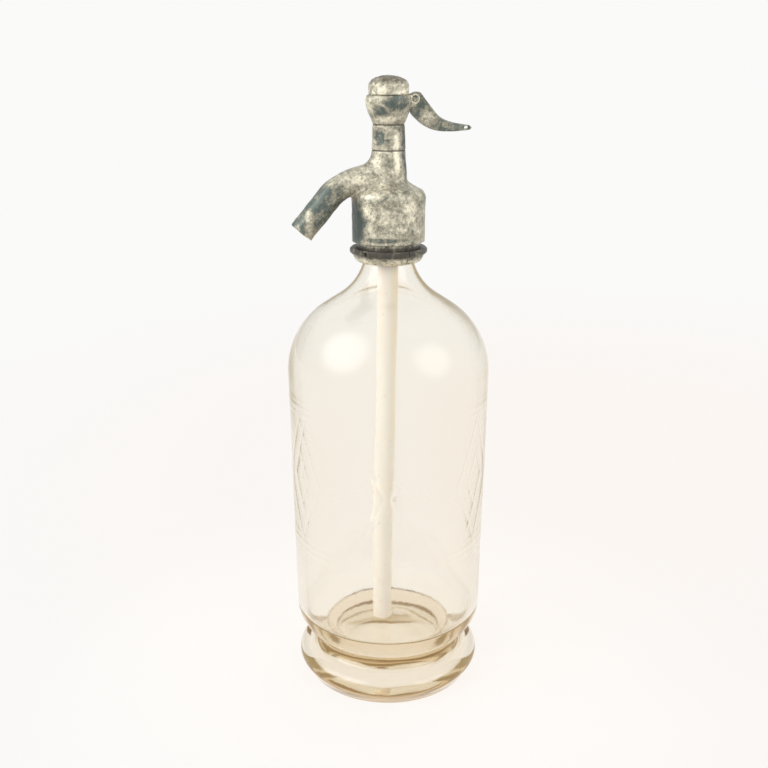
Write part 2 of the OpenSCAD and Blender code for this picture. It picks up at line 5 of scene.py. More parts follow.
import bmesh
import bpy
import numpy as np
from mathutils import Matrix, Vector


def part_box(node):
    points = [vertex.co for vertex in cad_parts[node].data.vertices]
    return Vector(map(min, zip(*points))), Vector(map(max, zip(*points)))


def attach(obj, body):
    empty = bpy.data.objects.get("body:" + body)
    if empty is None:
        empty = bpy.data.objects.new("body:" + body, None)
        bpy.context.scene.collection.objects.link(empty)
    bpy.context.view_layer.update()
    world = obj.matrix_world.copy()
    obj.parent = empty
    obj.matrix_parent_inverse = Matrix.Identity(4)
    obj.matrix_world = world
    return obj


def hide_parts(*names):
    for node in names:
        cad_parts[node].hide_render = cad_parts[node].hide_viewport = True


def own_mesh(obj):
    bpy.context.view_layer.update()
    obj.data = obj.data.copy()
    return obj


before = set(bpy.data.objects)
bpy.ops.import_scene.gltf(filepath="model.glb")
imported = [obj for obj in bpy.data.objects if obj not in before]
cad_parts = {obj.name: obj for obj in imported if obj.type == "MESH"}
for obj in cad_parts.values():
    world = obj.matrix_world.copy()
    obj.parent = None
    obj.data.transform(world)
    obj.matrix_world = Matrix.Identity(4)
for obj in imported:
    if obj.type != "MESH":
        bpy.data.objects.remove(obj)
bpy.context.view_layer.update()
MM = 0.001
scene = bpy.context.scene
scene.view_settings.view_transform = "Standard"


# ---- Camera, at the photograph's viewing angle ----

FOCAL_PX = 1000        # focal length, in pixels of the 768-pixel frame
FRAME_PX = 768
SENSOR_MM = 36
AIM_HEIGHT = 0.1536    # height of the point on the axis at the middle of the frame
CAMERA_REACH = 0.4702  # level distance from the axis to the camera
CAMERA_TILT = math.radians(17.5)
CAMERA_TURN = math.radians(13)   # how far the camera stands round towards the spout
AXIS_OFFSET_PX = 4.5   # the siphon stands this far right of the frame's middle


def make_camera():
    data = bpy.data.cameras.new("camera")
    data.sensor_width = SENSOR_MM
    data.lens = FOCAL_PX / FRAME_PX * SENSOR_MM
    data.clip_start = 0.01
    camera = bpy.data.objects.new("camera", data)
    scene.collection.objects.link(camera)
    camera.location = (
        -CAMERA_REACH * math.sin(CAMERA_TURN),
        -CAMERA_REACH * math.cos(CAMERA_TURN),
        AIM_HEIGHT + CAMERA_REACH * math.tan(CAMERA_TILT),
    )
    yaw = math.atan(AXIS_OFFSET_PX / FOCAL_PX)
    camera.rotation_euler = (math.pi / 2 - CAMERA_TILT, 0, yaw - CAMERA_TURN)
    scene.camera = camera


make_camera()


def facing(bearing, rise):
    """Unit direction at a bearing counted from the camera's side towards +X, and a rise above level."""
    turn = math.radians(bearing) - CAMERA_TURN
    up = math.radians(rise)
    return (math.sin(turn) * math.cos(up), -math.cos(turn) * math.cos(up), math.sin(up))


def place(bearing, radius, height):
    """The point at that bearing, radius and height, in millimetres."""
    direction = facing(bearing, 0)
    return (radius * direction[0], radius * direction[1], height)


# ---- Node materials: short helpers, each adds one node and gives back its output ----

def new_material(name):
    """A new node material and its Principled shader."""
    material = bpy.data.materials.new(name)
    material.use_nodes = True
    return material, material.node_tree, material.node_tree.nodes["Principled BSDF"]


def feed(tree, node, inputs):
    """Fill a node's inputs, each with a value or with the socket that feeds it."""
    for key, value in inputs.items():
        if isinstance(value, bpy.types.NodeSocket):
            tree.links.new(value, node.inputs[key])
        else:
            node.inputs[key].default_value = value


def add(tree, kind, inputs=None, **settings):
    """One node of that kind, with its settings and inputs."""
    node = tree.nodes.new("ShaderNode" + kind)
    for key, value in settings.items():
        setattr(node, key, value)
    feed(tree, node, inputs or {})
    return node


def calc(tree, operation, a, b=0.0):
    """The result of one sum on values or sockets."""
    return add(tree, "Math", {0: a, 1: b}, operation=operation).outputs[0]


def here(tree, stretch=(1, 1, 1)):
    """The point on the piece, in metres, stretched along each axis."""
    point = add(tree, "TexCoord").outputs["Object"]
    if stretch == (1, 1, 1):
        return point
    return add(tree, "Mapping", {"Vector": point, "Scale": stretch}).outputs[0]


def noise(tree, point, grain_mm, detail=3.0, rough=0.55, warp=0.0):
    """Cloudy noise from 0 to 1 whose patches are about grain_mm wide."""
    return add(tree, "TexNoise", {
        "Vector": point, "Scale": 1 / (grain_mm * MM), "Detail": detail, "Roughness": rough,
        "Distortion": warp,
    }).outputs["Fac"]


def cells(tree, point, grain_mm):
    """Distance to the nearest of scattered points that lie about grain_mm apart, in units of that grain."""
    return add(tree, "TexVoronoi", {"Vector": point, "Scale": 1 / (grain_mm * MM)}).outputs["Distance"]


def fade(tree, value, low, high, to_low=0.0, to_high=1.0):
    """A smooth step of value between low and high."""
    return add(tree, "MapRange", {
        "Value": value, "From Min": low, "From Max": high, "To Min": to_low, "To Max": to_high,
    }, interpolation_type="SMOOTHSTEP").outputs["Result"]


def blend(tree, share, first, second):
    """Colour first where share is 0 and second where it is 1."""
    first, second = (c if isinstance(c, bpy.types.NodeSocket) else (*c, 1) for c in (first, second))
    return add(tree, "Mix", {0: share, 6: first, 7: second}, data_type="RGBA").outputs[2]


def raise_by(tree, height, depth_mm):
    """A bump whose height of 1 stands depth_mm proud."""
    inputs = {"Height": height, "Distance": depth_mm * MM, "Strength": 1.0}
    return add(tree, "Bump", inputs).outputs["Normal"]


def attribute(tree, name):
    """A value that the mesh carries on its points."""
    return add(tree, "Attribute", attribute_name=name).outputs["Fac"]


def ramp(tree, value, stops):
    """Colours at places from 0 to 1 along value, run together."""
    node = add(tree, "ValToRGB", {"Fac": value})
    bar = node.color_ramp
    while len(bar.elements) < len(stops):
        bar.elements.new(1.0)
    for element, (position, colour) in zip(bar.elements, stops):
        element.position = position
        element.color = (*colour, 1)
    return node.outputs["Color"]


def patch(tree, point, centre_mm, reach_mm):
    """1 at a place and 0 beyond its reach along X, Y and Z, in millimetres."""
    off = add(tree, "VectorMath", {0: point, 1: [c * MM for c in centre_mm]}, operation="SUBTRACT").outputs[0]
    off = add(tree, "VectorMath", {0: off, 1: [r * MM for r in reach_mm]}, operation="DIVIDE").outputs[0]
    away = add(tree, "VectorMath", {0: off}, operation="LENGTH").outputs["Value"]
    return fade(tree, away, 1.0, 0.35)


# ---- Materials ----

CREVICE = "crevice"        # name of the points' value that is 1 in the hollows of a cast piece
GROOVES = (266.3, 277.7)   # heights of the column's two turned grooves, in millimetres
GROOVE_HALF_W = 0.45
OLIVE, GREY_BEIGE, BEIGE = (0.24, 0.225, 0.17), (0.43, 0.4, 0.31), (0.76, 0.7, 0.55)
DARK_SPECK = (0.085, 0.075, 0.055)
# near-black of the hollows and grooves: dirt and painted shade
HOLLOW_DIRT_AND_SHADE = (0.05, 0.042, 0.03)


def pewter(name, tone, patches=(), slate=(0.07, 0.085, 0.075), rough=0.42, grooves=()):
    """Old cast pewter: slate, grey-brown and beige run together in clouds and fine speckle.

    tone sets where the clouds lie between slate (0) and beige (1).
    Each patch is (centre, reach, shift of tone).
    Dark specks lie where the metal is lightest, and crevices and grooves are near black with dirt and painted
    shade.
    """
    material, tree, shader = new_material(name)
    point = here(tree)
    clouds = noise(tree, point, 6.5, 4, 0.65, 0.5)
    speckle = noise(tree, point, 1.5, 4, 0.7)
    grain = noise(tree, point, 0.45, 3)
    clouds_part, speckle_part = 1.25, 1.05   # their middle values add up to 1.15
    level = calc(tree, "ADD", calc(tree, "MULTIPLY", clouds, clouds_part),
                 calc(tree, "MULTIPLY", speckle, speckle_part))
    level = calc(tree, "ADD", level, tone - 1.15)
    for centre, reach, shift in patches:
        level = calc(tree, "ADD", level, calc(tree, "MULTIPLY", patch(tree, point, centre, reach), shift))
    colour = ramp(tree, level, (
        (0.0, slate), (0.3, tuple(1.5 * part for part in slate)),
        (0.45, OLIVE), (0.65, GREY_BEIGE), (0.9, BEIGE),
    ))
    flock = fade(tree, noise(tree, point, 8, 2), 0.47, 0.57)
    cluster = calc(tree, "MULTIPLY", fade(tree, level, 0.5, 0.75), flock)
    specks = calc(tree, "MULTIPLY", fade(tree, noise(tree, point, 1.1, 2, 0.5), 0.55, 0.64), cluster)
    pits = fade(tree, cells(tree, point, 1.5), 0.27, 0.14)
    pits = calc(tree, "MULTIPLY", pits, fade(tree, noise(tree, point, 5, 2), 0.48, 0.6))
    marks = calc(tree, "MAXIMUM", specks, pits)
    colour = blend(tree, calc(tree, "MULTIPLY", marks, 0.7), colour, DARK_SPECK)
    height = calc(tree, "ADD", calc(tree, "MULTIPLY", speckle, 0.6), calc(tree, "MULTIPLY", grain, 0.25))
    height = calc(tree, "SUBTRACT", height, calc(tree, "MULTIPLY", marks, 0.5))
    # Painted shade, with dirt, darkens the hollows and the grooves.
    hidden = calc(tree, "MULTIPLY", attribute(tree, CREVICE), 0.8)
    upward = add(tree, "SeparateXYZ", {0: point}).outputs["Z"]
    for groove_z in grooves:
        off_groove = calc(tree, "ABSOLUTE", calc(tree, "SUBTRACT", upward, groove_z * MM))
        groove_dirt_and_shade = fade(tree, off_groove, GROOVE_HALF_W * MM, 0.2 * MM, 0, 0.85)
        hidden = calc(tree, "MAXIMUM", hidden, groove_dirt_and_shade)
    colour = blend(tree, hidden, colour, HOLLOW_DIRT_AND_SHADE)
    feed(tree, shader, {
        "Base Color": colour,
        "Metallic": 0.55,
        "Roughness": fade(tree, speckle, 0.3, 0.7, rough - 0.1, rough + 0.15),
        "Normal": raise_by(tree, height, 0.14),
    })
    return material


def turned_brass(name):
    """Dull brass with fine turning marks round the axis."""
    material, tree, shader = new_material(name)
    rings = noise(tree, here(tree, (0.05, 0.05, 1)), 0.25, 2)
    stain = noise(tree, here(tree), 3, 3)
    feed(tree, shader, {
        "Base Color": blend(tree, fade(tree, stain, 0.35, 0.7), (0.52, 0.37, 0.15), (0.25, 0.17, 0.08)),
        "Metallic": 1.0,
        "Roughness": fade(tree, stain, 0.3, 0.7, 0.25, 0.5),
        "Normal": raise_by(tree, rings, 0.03),
    })
    return material


def drawn_steel(name):
    """Spring wire with a light drawing grain."""
    material, tree, shader = new_material(name)
    stain = noise(tree, here(tree), 1.2, 3)
    feed(tree, shader, {
        "Base Color": blend(tree, stain, (0.42, 0.42, 0.42), (0.24, 0.23, 0.21)),
        "Metallic": 1.0,
        "Roughness": fade(tree, stain, 0.3, 0.7, 0.2, 0.4),
        "Normal": raise_by(tree, noise(tree, here(tree), 0.2), 0.01),
    })
    return material


def black_rubber(name):
    """Old matt rubber, a little dusty."""
    material, tree, shader = new_material(name)
    dust = noise(tree, here(tree), 1.5, 4)
    feed(tree, shader, {
        "Base Color": blend(tree, fade(tree, dust, 0.4, 0.8), (0.016, 0.015, 0.014), (0.05, 0.045, 0.04)),
        "Roughness": fade(tree, dust, 0.3, 0.7, 0.6, 0.85),
        "Normal": raise_by(tree, dust, 0.04),
    })
    return material


def pressed_fibre(name):
    """Brown fibre washer stock, with short flecks."""
    material, tree, shader = new_material(name)
    flecks = noise(tree, here(tree, (1, 1, 3)), 0.8, 4)
    feed(tree, shader, {
        "Base Color": blend(tree, fade(tree, flecks, 0.35, 0.65), (0.13, 0.06, 0.03), (0.27, 0.16, 0.09)),
        "Roughness": fade(tree, flecks, 0.3, 0.7, 0.6, 0.8),
        "Normal": raise_by(tree, flecks, 0.05),
    })
    return material


def aged_tube(name):
    """Cream plastic that lets some light in; a warmer stain runs along its right side."""
    material, tree, shader = new_material(name)
    point = here(tree)
    across = add(tree, "SeparateXYZ", {0: point}).outputs["X"]
    streaks = noise(tree, here(tree, (1, 1, 0.08)), 2, 3)
    warm = fade(tree, calc(tree, "ADD", across, calc(tree, "MULTIPLY", streaks, 2 * MM)), 0, 5 * MM)
    colour = blend(tree, warm, (0.76, 0.73, 0.68), (0.76, 0.68, 0.52))
    specks = fade(tree, cells(tree, point, 4), 0.12, 0.06)
    feed(tree, shader, {
        "Base Color": blend(tree, calc(tree, "MULTIPLY", specks, 0.5), colour, (0.4, 0.32, 0.2)),
        "Roughness": fade(tree, streaks, 0.3, 0.7, 0.3, 0.45),
        "Subsurface Weight": 0.4,
        "Subsurface Radius": (1.0, 0.7, 0.4),
        "Subsurface Scale": 2 * MM,
        "Normal": raise_by(tree, streaks, 0.05),
    })
    return material


STRAW_TINT = (0.775, 0.59, 0.22, 1)   # what the glass lets through, more strongly the deeper it is
STRAW_DENSITY = 20
KEPT_LIGHT = (0.5, 0.43, 0.27, 1)     # what light looks like that has turned many times inside the glass
KEPT_AFTER_TURNS = 2.5                # a path with more reflections, or with more turns of any kind, is kept
KEPT_AFTER_STEPS = 7.5


def straw_glass(name):
    """Pale straw glass, tinted by its depth, with a light haze and fine scuffs on its skin.

    Shadows and soft light go straight through, and paths that turn too often end in KEPT_LIGHT.
    """
    material, tree, shader = new_material(name)
    point = here(tree)
    haze = noise(tree, point, 14, 4)
    scuffs = noise(tree, here(tree, (1, 1, 0.5)), 2.2, 4, 0.65)
    feed(tree, shader, {
        "Base Color": (0.995, 0.995, 0.985, 1),
        "Transmission Weight": 1.0,
        "IOR": 1.5,
        "Roughness": fade(tree, haze, 0.45, 0.75, 0.0, 0.06),
        "Normal": raise_by(tree, scuffs, 0.03),
    })
    clear = add(tree, "BsdfTransparent", {"Color": (0.99, 0.987, 0.98, 1)}).outputs[0]
    light_path = add(tree, "LightPath")
    through = calc(tree, "MAXIMUM", light_path.outputs["Is Shadow Ray"], light_path.outputs["Is Diffuse Ray"])
    surface = add(tree, "MixShader", {0: through, 1: shader.outputs[0], 2: clear}).outputs[0]
    turns = calc(tree, "GREATER_THAN", light_path.outputs["Glossy Depth"], KEPT_AFTER_TURNS)
    steps = calc(tree, "GREATER_THAN", light_path.outputs["Ray Depth"], KEPT_AFTER_STEPS)
    kept = add(tree, "Emission", {"Color": KEPT_LIGHT, "Strength": 1.0}).outputs[0]
    surface = add(tree, "MixShader", {0: calc(tree, "MAXIMUM", turns, steps), 1: surface, 2: kept}).outputs[0]
    depth = add(tree, "VolumeAbsorption", {"Color": STRAW_TINT, "Density": STRAW_DENSITY}).outputs[0]
    output = tree.nodes["Material Output"]
    tree.links.new(surface, output.inputs["Surface"])
    tree.links.new(depth, output.inputs["Volume"])
    return material


# Patches of another tone, some of them painted highlights and painted shade: centre and reach in millimetres,
# and the shift of tone
HEAD_PATCHES = (
    (place(-62, 18, 233), (8, 10, 14), -0.6),         # painted shade: slate down the skirt's left side
    (place(25, 10.5, 287.3), (8.5, 8, 4.6), -0.36),   # slate round the lever housing
    (place(-20, 9.5, 284), (7, 6, 2.6), -0.25),
    (place(0, 9, 280.3), (12, 12, 1.8), 0.15),
    (place(-10, 18, 227), (14, 9, 1.6), -0.35),       # dull band above the skirt's edge
    (place(-35, 7.6, 272), (3.4, 4, 5.5), -0.3),      # column: grey left, a painted highlight stripe, painted shade down the right edge
    (place(29, 7.6, 265), (2.4, 3, 15), 0.3),
    (place(74, 7.6, 265), (3.2, 5, 17), -0.35),
    # painted highlights on the shoulder, where it mirrors the left and the right window
    (place(-30, 18, 240), (7, 7, 5), 0.15),
    (place(36, 18, 242), (6, 7, 4), 0.28),            # painted highlight on the shoulder's right
    ((-36, 0, 241), (26, 14, 18), -0.34),             # the spout is duller, with bright flecks on its root
    ((-12, -5.5, 253.5), (9, 4, 3), 0.3),
    ((-38, -5, 236), (3, 4, 7), 0.28),
)
CAP_PATCHES = (((0, 0, 297.3), (14, 14, 3.6), -0.4), ((0, 0, 292.3), (40, 40, 2.2), 0.15))
LEVER_PATCHES = (((17, -4, 281), (5, 6, 6), 0.3), ((13, -4, 291), (4, 6, 4), -0.1))
RING_PATCHES = (
    ((0, 0, 216), (60, 60, 2.8), 0.35),
    ((0, 0, 220.4), (60, 60, 2.2), -0.25),
    # painted shadow along the flange's top, under the skirt
    ((0, 0, 222.5), (60, 60, 1.2), -0.2),
)

head_metal = pewter("old_pewter", 0.6, HEAD_PATCHES, grooves=GROOVES)
cap_metal = pewter("cap_pewter", 0.7, CAP_PATCHES, slate=(0.09, 0.075, 0.055))
lever_metal = pewter("lever_pewter", 0.4, LEVER_PATCHES)
ring_metal = pewter("ring_metal", 0.4, RING_PATCHES, slate=(0.06, 0.055, 0.045), rough=0.35)
brass = turned_brass("dull_brass")
steel = drawn_steel("spring_wire")
rubber = black_rubber("black_rubber")
fibre = pressed_fibre("pressed_fibre")
tube_plastic = aged_tube("aged_cream_plastic")
glass = straw_glass("straw_glass")


# ---- Shapes: grids and fields worked out with numpy ----

def arc(centre, radius, start, end, count):
    """Points on an arc about centre, from angle start to end in degrees."""
    angle = np.radians(np.linspace(start, end, count))
    return np.array(centre) + radius * np.stack([np.cos(angle), np.sin(angle)], 1)


def step_up(value, low, high):
    """A smooth step from 0 at low to 1 at high."""
    t = np.clip((value - low) / (high - low), 0, 1)
    return t * t * (3 - 2 * t)


WAVE_COUNT = 14


def waves(points, length, seed):
    """A smooth random field: the sum of plane waves about that length, in seeded random directions."""
    rng = np.random.default_rng(seed)
    direction = rng.normal(size=(WAVE_COUNT, 3))
    direction /= np.linalg.norm(direction, axis=1)[:, None]
    turns = 2 * np.pi / (length * rng.uniform(0.7, 1.5, WAVE_COUNT))
    phase = rng.uniform(0, 2 * np.pi, WAVE_COUNT)
    return np.sin(points @ (direction * turns[:, None]).T + phase).sum(1) / math.sqrt(WAVE_COUNT)


def solid(name, points_mm, faces, material, body, node):
    """A mesh piece from points in millimetres, smooth shaded, riding on its body in place of its node."""
    mesh = bpy.data.meshes.new(name)
    mesh.from_pydata(points_mm * MM, [], faces)
    mesh.shade_smooth()
    mesh.update()
    piece = bpy.data.objects.new(name, mesh)
    scene.collection.objects.link(piece)
    mesh.materials.append(material)
    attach(piece, body)
    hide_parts(node)
    return piece


# ---- The glass bottle ----

# Sizes of the CAD solid, in millimetres
BOTTLE_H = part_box("glass_bottle")[1].z / MM
BODY_BASE_R = 47.2
BODY_TOP_R = 49
SHOULDER_Z = BOTTLE_H - 70.7
SHOULDER_ROUND = 38
SHOULDER_SLOPE = 57   # degrees
NECK_SWEEP = 27       # radius of the curve from shoulder to neck
NECK_R = 11.1
WALL = 4.6
LIP_R = 14
LIP_H = 6
LIP_ROUND = 1.5
MOUTH_EDGE = 0.8
FLOOR_H = 24          # the inner floor: flat in the middle, rising to the wall
FLOOR_R = 27
FLOOR_EDGE_H = 35.2
FLOOR_BEND = 6
FLOOR_CORNER = 2.5
FOOT_R = 46.5
FOOT_BULGE_H = 9
FOOT_ROUND = 5.5
FOOT_BASE_R = 42
FOOT_REST_W = 6       # width of the ring that the foot rests on
KICK_H = 7            # height of the hollow under the foot
WAIST_R = 34.5
BOTTOM_ROUND = 17
BOTTOM_ROUND_H = 38

# The raised ornament, in millimetres: thin rings, and a row of lozenges between them
RING_HEIGHTS = (76, 79, 147, 150)
LINE_WIDTH = 1.15     # half width of a raised line
RELIEF = 0.09         # height of the ornament
ROW_MIDDLE = 113      # middle height, half height and number of the lozenges
ROW_HALF = 31
ROW_COUNT = 9
LOZENGE_WIDE = 0.44   # half width, as a share of the distance between two
LOZENGE_SIZES = (1.0, 0.45)
FINE_REACH = ROW_HALF + 9     # the outline is fine and even this far above and below the row's middle
DRAWN_REACH = ROW_HALF + 8    # its rings have four times as many points this far
NEAR_REACH = ROW_HALF + 11    # and twice as many this far
AROUND = 144                  # points round any other ring

# Unevenness of the blown glass, in millimetres
WALL_WAVE_L = 38      # length and depth of the slow waves, on the outside and the inside of the wall
OUTER_WAVE = 0.08
INNER_WAVE = 0.3
FLOOR_WAVE_L = 19     # the same on the inner floor and under the foot
FLOOR_WAVE = 0.25
WALL_SEED, FLOOR_SEED = 5, 8


def shoulder(wall):
    """Shoulder and neck, set in by the wall from the outside of the glass, from the body up."""
    turn = np.array([BODY_TOP_R - SHOULDER_ROUND, SHOULDER_Z])
    slope = math.radians(SHOULDER_SLOPE)
    turn_end = turn + SHOULDER_ROUND * np.array([math.cos(slope), math.sin(slope)])
    sweep_r = NECK_R + NECK_SWEEP * (1 - math.cos(slope))
    sweep_z = turn_end[1] + (turn_end[0] - sweep_r) / math.tan(slope)
    sweep = (NECK_R + NECK_SWEEP, sweep_z + NECK_SWEEP * math.sin(slope))
    return np.concatenate([
        arc(turn, SHOULDER_ROUND - wall, 0, SHOULDER_SLOPE, 36),
        arc(sweep, NECK_SWEEP + wall, 180 + SHOULDER_SLOPE, 180, 22),
    ])


def bottle_outline():
    """The glass's outline, from the middle of the hollow foot round the outside and back down the inside."""
    kick_r = FOOT_BASE_R - FOOT_REST_W
    kick_sphere = (kick_r ** 2 + KICK_H ** 2) / (2 * KICK_H)
    kick_end = 90 - math.degrees(math.asin(kick_r / kick_sphere))
    kick = arc((0, KICK_H - kick_sphere), kick_sphere, 90, kick_end, 14)
    centre_r = FOOT_R - FOOT_ROUND
    reach = math.hypot(centre_r - FOOT_BASE_R, FOOT_BULGE_H)
    rise = math.atan2(FOOT_BULGE_H, centre_r - FOOT_BASE_R)
    tangent = math.degrees(rise - math.asin(FOOT_ROUND / reach)) - 90
    foot = arc((centre_r, FOOT_BULGE_H), FOOT_ROUND, tangent, 100, 18)
    waist_turn = math.degrees(math.acos((WAIST_R - BODY_BASE_R + BOTTOM_ROUND) / BOTTOM_ROUND))
    bottom = arc((BODY_BASE_R - BOTTOM_ROUND, BOTTOM_ROUND_H), BOTTOM_ROUND, -waist_turn, 0, 18)
    wall_z = np.concatenate([
        np.linspace(BOTTOM_ROUND_H, ROW_MIDDLE - FINE_REACH - 1, 16)[1:],
        np.linspace(ROW_MIDDLE - FINE_REACH, ROW_MIDDLE + FINE_REACH, 118),
        np.linspace(ROW_MIDDLE + FINE_REACH + 1, SHOULDER_Z, 6)[:-1],
    ])
    wall = np.stack([np.interp(wall_z, [BOTTOM_ROUND_H, SHOULDER_Z], [BODY_BASE_R, BODY_TOP_R]), wall_z], 1)
    bore_r = NECK_R - WALL
    lip = np.concatenate([
        [[NECK_R, BOTTLE_H - LIP_H]],
        arc((LIP_R - LIP_ROUND, BOTTLE_H - LIP_H + LIP_ROUND), LIP_ROUND, -90, 0, 5),
        arc((LIP_R - LIP_ROUND, BOTTLE_H - LIP_ROUND), LIP_ROUND, 0, 90, 5),
        [[bore_r + MOUTH_EDGE, BOTTLE_H], [bore_r, BOTTLE_H - MOUTH_EDGE]],
    ])
    inner_r = BODY_BASE_R - WALL
    slope = math.atan2(FLOOR_EDGE_H - FLOOR_H, inner_r - FLOOR_R)
    slope_deg = math.degrees(slope)
    bend_centre = (FLOOR_R - FLOOR_BEND * math.tan(slope / 2), FLOOR_H + FLOOR_BEND)
    bend = arc(bend_centre, FLOOR_BEND, -90, slope_deg - 90, 7)
    corner_z = FLOOR_EDGE_H + FLOOR_CORNER * math.tan((math.pi / 2 - slope) / 2)
    corner = arc((inner_r - FLOOR_CORNER, corner_z), FLOOR_CORNER, slope_deg - 90, 0, 7)
    across = np.linspace(0, 1, 8)[1:-1, None]
    sloping = bend[-1] * (1 - across) + corner[0] * across
    inner_z = np.linspace(corner_z, SHOULDER_Z, 24)[1:-1]
    inner_wall = np.stack([
        np.interp(inner_z, [corner_z, SHOULDER_Z], [inner_r, BODY_TOP_R - WALL]), inner_z,
    ], 1)
    flat = np.stack([np.linspace(0, bend[0][0], 8)[:-1], np.full(7, FLOOR_H)], 1)
    inside = np.concatenate([flat, bend, sloping, corner, inner_wall, shoulder(WALL)[::2]])
    outside = np.concatenate([kick, [[FOOT_BASE_R, 0]], foot, bottom, wall, shoulder(0), lip])
    return outside, inside[::-1]


CAMERA_SIDE = -math.pi / 2 - CAMERA_TURN   # the row's first gap faces the camera


def relief(angle, z):
    """Height of the raised ornament at an angle and height: rings, and lozenges within lozenges."""
    height = np.zeros_like(z)
    for ring in RING_HEIGHTS:
        height += np.exp(-((z - ring) / LINE_WIDTH) ** 2)
    pitch = 2 * np.pi * BODY_TOP_R / ROW_COUNT
    across = np.abs(((angle - CAMERA_SIDE) * ROW_COUNT / (2 * np.pi)) % 1 - 0.5) * pitch
    half_wide = LOZENGE_WIDE * pitch
    square_on = math.hypot(ROW_HALF, half_wide) / (ROW_HALF * half_wide)   # share of a lozenge per millimetre
    reach = across / half_wide + np.abs(z - ROW_MIDDLE) / ROW_HALF
    for size in LOZENGE_SIZES:
        height += np.exp(-((reach - size) / square_on / LINE_WIDTH) ** 2)
    return RELIEF * height


def is_floor(points):
    """1 on the inner floor and the hollow foot, fading out towards the wall and the resting ring."""
    r = np.hypot(points[:, 0], points[:, 1])
    z = points[:, 2]
    inner_end, kick_end = 40, 35
    inner = (z > FLOOR_H - 1) & (z < FLOOR_EDGE_H) & (r < inner_end)
    kick = (z > 1) & (z < KICK_H + 1) & (r < FOOT_BASE_R - FOOT_REST_W)
    return inner * (1 - step_up(r, 30, inner_end)) + kick * (1 - step_up(r, 24, kick_end))


def turned_faces(counts):
    """Faces between rings of points; the next ring has as many points, twice as many or half as many."""
    faces = []
    start = np.concatenate([[0], np.cumsum(counts)])
    for a, b, n, m in zip(start[:-2], start[1:-1], counts[:-1], counts[1:]):
        j = np.arange(min(n, m))
        k = (j + 1) % min(n, m)
        if n == m:
            faces += np.stack([a + j, a + k, b + k, b + j], 1).tolist()
        elif m > n:
            faces += np.stack([a + j, b + 2 * j + 1, b + 2 * j], 1).tolist()
            faces += np.stack([a + j, a + k, b + 2 * j + 1], 1).tolist()
            faces += np.stack([a + k, b + 2 * k, b + 2 * j + 1], 1).tolist()
        else:
            faces += np.stack([a + 2 * j, a + 2 * j + 1, b + j], 1).tolist()
            faces += np.stack([a + 2 * j + 1, b + k, b + j], 1).tolist()
            faces += np.stack([a + 2 * j + 1, a + 2 * k, b + k], 1).tolist()
    return faces


def make_bottle():
    """The outline turned about the axis, with the relief and slow waves added to its radius."""
    outside, inside = bottle_outline()
    outline = np.concatenate([outside, inside])[1:-1]
    on_outside = np.arange(len(outline)) < len(outside) - 1
    outline_r, outline_z = outline.T
    straight = on_outside & (outline_r > BODY_BASE_R - 1) & (outline_z < SHOULDER_Z)
    off_row = np.abs(outline_z - ROW_MIDDLE)
    counts = AROUND * np.where(straight & (off_row < DRAWN_REACH), 4,
                               np.where(straight & (off_row < NEAR_REACH), 2, 1))
    turn = np.concatenate([np.arange(count) * 2 * np.pi / count for count in counts])
    r, z = np.repeat(outline, counts, 0).T
    on_wall = np.repeat(straight & (outline_z > BOTTOM_ROUND_H + 7), counts)
    on_inner = np.repeat(~on_outside & (outline_z > FLOOR_H + 1) & (outline_z < BOTTLE_H - 20), counts)
    uneven = waves(np.stack([r * np.cos(turn), r * np.sin(turn), 0.5 * z], 1), WALL_WAVE_L, WALL_SEED)
    r = r + on_wall * (relief(turn, z) + OUTER_WAVE * uneven) + on_inner * INNER_WAVE * uneven
    points = np.stack([r * np.cos(turn), r * np.sin(turn), z], 1)
    ripple = waves(points * [1, 1, 0.4], FLOOR_WAVE_L, FLOOR_SEED) - 0.3
    points[:, 2] += FLOOR_WAVE * is_floor(points) * ripple
    points = np.concatenate([points, [[0, 0, outside[0][1]], [0, 0, inside[-1][1]]]])
    faces = turned_faces(counts)
    j = np.arange(AROUND)
    k = (j + 1) % AROUND
    bottom = len(points) - 2
    last = bottom - AROUND
    faces += np.stack([np.full(AROUND, bottom), k, j], 1).tolist()
    faces += np.stack([np.full(AROUND, bottom + 1), last + j, last + k], 1).tolist()
    solid("bottle", points, faces, glass, "siphon", "glass_bottle")


make_bottle()


# ---- Cast pieces: fine even meshes of the CAD solids, then worn with fields ----

CREVICE_SPREAD = 3    # how many rings of neighbours a crevice's depth is spread over
DENT_SEED = 21
LEVER_SEED = 31


def closed_copy(node):
    """A copy of a CAD node's mesh with its loose triangles joined."""
    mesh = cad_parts[node].data.copy()
    work = bmesh.new()
    work.from_mesh(mesh)
    bmesh.ops.remove_doubles(work, verts=work.verts, dist=1e-6)
    work.to_mesh(mesh)
    work.free()
    return mesh


def cast_copy(node, voxel_mm):
    """Points in mm, faces and edges of a fine even mesh over a CAD node's solid."""
    piece = bpy.data.objects.new("cast_copy", closed_copy(node))
    scene.collection.objects.link(piece)
    remesh = piece.modifiers.new("remesh", "REMESH")
    remesh.mode = "VOXEL"
    remesh.voxel_size = voxel_mm * MM
    fine = bpy.data.meshes.new_from_object(piece.evaluated_get(bpy.context.evaluated_depsgraph_get()))
    bpy.data.objects.remove(piece)
    points = np.zeros(len(fine.vertices) * 3)
    fine.vertices.foreach_get("co", points)
    faces = [tuple(p.vertices) for p in fine.polygons]
    edges = np.zeros(len(fine.edges) * 2, int)
    fine.edges.foreach_get("vertices", edges)
    return points.reshape(-1, 3) / MM, faces, edges.reshape(-1, 2)


def neighbour_mean(values, edges):
    """Each point's mean of values over the points that an edge joins it to."""
    total = np.zeros_like(values)
    count = np.zeros(len(values))
    for a, b in ((0, 1), (1, 0)):
        np.add.at(total, edges[:, a], values[edges[:, b]])
        np.add.at(count, edges[:, a], 1)
    return total / count.reshape(-1, *[1] * (values.ndim - 1))


